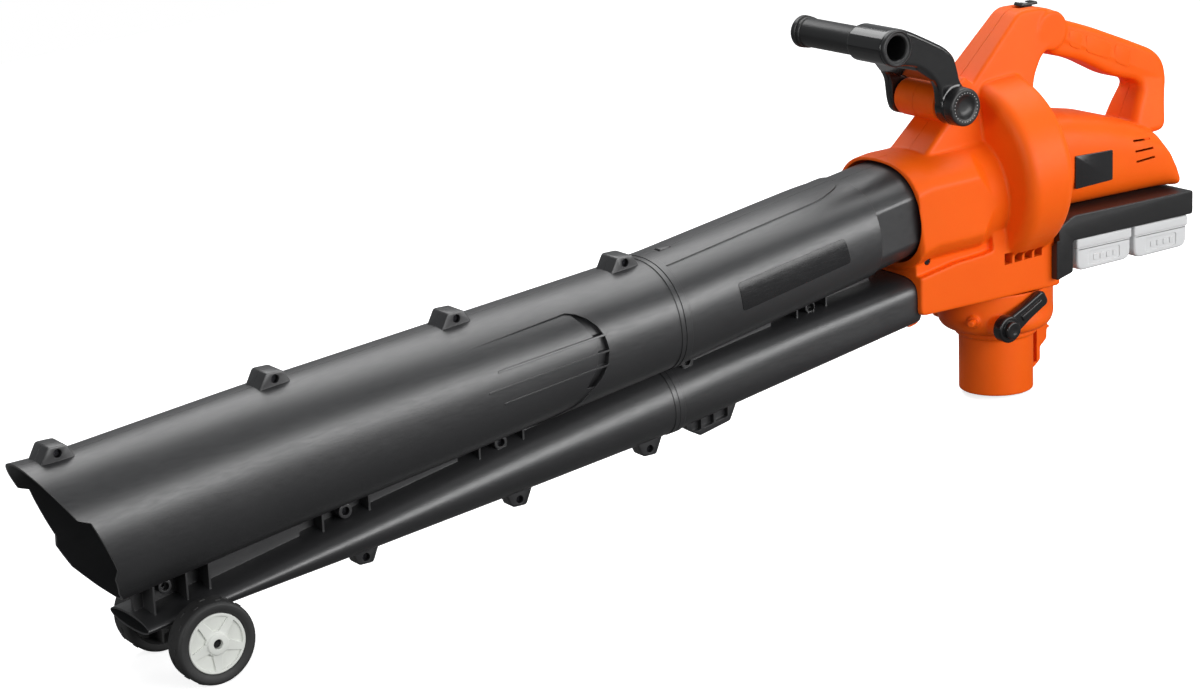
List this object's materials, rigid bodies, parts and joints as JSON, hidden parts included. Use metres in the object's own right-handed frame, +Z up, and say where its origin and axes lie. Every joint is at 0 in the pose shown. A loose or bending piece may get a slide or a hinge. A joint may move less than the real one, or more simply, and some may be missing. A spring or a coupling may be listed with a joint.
{
  "type": "leaf vacuum mulcher",
  "caption": "Cordless leaf blower vacuum and mulcher with a wide suction tube on two small wheels, a slim blow tube below it, a round fan housing, bag outlet and two slide-in battery packs.",
  "frame": {"origin": "on the ground plane under the middle of the tool's bounding box, with the wheels and the bag outlet's rim standing at z = 0", "axes": "+Z up; +X towards the D-handle and motor, so the nozzle points to -X; -Y is the tool's left side, where the mode lever and clamp knob are"},
  "size_m": [1.3124, 0.1938, 0.4115],
  "materials": {
    "charcoal": "satin moulded plastic with a fine grain",
    "orange": "satin-gloss moulded plastic",
    "gloss_black": "high gloss moulded plastic",
    "black": "satin moulded plastic",
    "tyre": "matte moulded rubber",
    "hub": "satin moulded plastic",
    "pack": "frosted pale plastic",
    "board": "solder mask",
    "steel": "bright zinc plate"
  },
  "bodies": {
    "body": {"body_left_shell": "orange", "body_right_shell": "orange", "body_screw": "steel", "bag_outlet": "orange", "battery_tray": "black", "front_terminal_block": "board", "rear_terminal_block": "board", "switch_body": "black", "control_board": "board", "motor_can": "steel", "motor_end_cap": "black", "motor_mount_plate": "steel", "front_bearing": "steel", "motor_badge_plate": "black", "rear_tube_left_shell": "charcoal", "rear_tube_right_shell": "charcoal"},
    "front_tube": {"front_tube_left_shell": "charcoal", "front_tube_right_shell": "charcoal", "wheel_axle": "steel", "tube_screw_1": "steel", "tube_screw_2": "steel", "tube_screw_3": "steel", "tube_screw_4": "steel", "tube_screw_5": "steel", "tube_screw_6": "steel", "tube_screw_7": "steel", "tube_screw_8": "steel", "tube_screw_9": "steel"},
    "tube_latch": {"tube_latch_button": "charcoal"},
    "left_wheel": {"left_tyre": "tyre", "left_wheel_hub": "hub"},
    "right_wheel": {"right_tyre": "tyre", "right_wheel_hub": "hub"},
    "rotor": {"motor_rotor": "steel", "impeller": "black", "impeller_nut": "steel", "shredder_blade": "steel"},
    "mode_selector": {"mode_lever": "black", "diverter_flap": "black"},
    "bag_catch": {"bag_catch": "black"},
    "aux_handle": {"aux_handle_yoke": "gloss_black", "aux_handle_bar": "black", "clamp_bolt": "steel"},
    "clamp_knob": {"clamp_knob": "black"},
    "switch_slider": {"switch_slider": "black"},
    "front_pack": {"front_battery_pack": "pack"},
    "rear_pack": {"rear_battery_pack": "pack"},
    "front_release": {"front_pack_release": "black"},
    "rear_release": {"rear_pack_release": "black"}
  },
  "joints": [
    {"name": "front_tube_slide", "type": "slide", "parent": "body", "child": "front_tube", "axis": [-0.9932, 0, -0.1166], "range_m": [0, 0.045]},
    {"name": "tube_latch_press", "type": "slide", "parent": "body", "child": "tube_latch", "axis": [-0.07, 0, -0.9975], "range_m": [0, 0.0025], "stiffness_N_per_m": 400, "springref_m": -0.001},
    {"name": "left_wheel_spin", "type": "hinge", "parent": "front_tube", "child": "left_wheel", "pos_m": [-0.52604, -0.00014, 0.0375], "axis": [0, 1, 0], "continuous": true},
    {"name": "right_wheel_spin", "type": "hinge", "parent": "front_tube", "child": "right_wheel", "pos_m": [-0.52604, -0.00014, 0.0375], "axis": [0, 1, 0], "continuous": true},
    {"name": "fan_spin", "type": "hinge", "parent": "body", "child": "rotor", "pos_m": [0.42806, -0.00014, 0.21963], "axis": [0.9999, 0, 0.0172], "continuous": true},
    {"name": "mode_lever_turn", "type": "hinge", "parent": "body", "child": "mode_selector", "pos_m": [0.38345, -0.00014, 0.08392], "axis": [0, -1, 0], "range_deg": [0, 78]},
    {"name": "bag_catch_press", "type": "slide", "parent": "body", "child": "bag_catch", "axis": [-0.9975, 0, 0.07], "range_m": [0, 0.003], "stiffness_N_per_m": 300, "springref_m": -0.001},
    {"name": "aux_handle_tilt", "type": "hinge", "parent": "body", "child": "aux_handle", "pos_m": [0.34597, -0.00014, 0.32113], "axis": [0, 1, 0], "range_deg": [-40, 40]},
    {"name": "clamp_knob_turn", "type": "hinge", "parent": "aux_handle", "child": "clamp_knob", "pos_m": [0.34597, -0.00014, 0.32113], "axis": [0, -1, 0], "range_deg": [0, 360]},
    {"name": "switch_slide", "type": "slide", "parent": "body", "child": "switch_slider", "axis": [0.9975, 0, -0.07], "range_m": [0, 0.006]},
    {"name": "front_pack_slide", "type": "slide", "parent": "body", "child": "front_pack", "axis": [0, 1, 0], "range_m": [0, 0.12]},
    {"name": "rear_pack_slide", "type": "slide", "parent": "body", "child": "rear_pack", "axis": [0, 1, 0], "range_m": [0, 0.12]},
    {"name": "front_release_press", "type": "slide", "parent": "front_pack", "child": "front_release", "axis": [0, -1, 0], "range_m": [0, 0.0025], "stiffness_N_per_m": 300, "springref_m": -0.001},
    {"name": "rear_release_press", "type": "slide", "parent": "rear_pack", "child": "rear_release", "axis": [0, -1, 0], "range_m": [0, 0.0025], "stiffness_N_per_m": 300, "springref_m": -0.001}
  ]
}
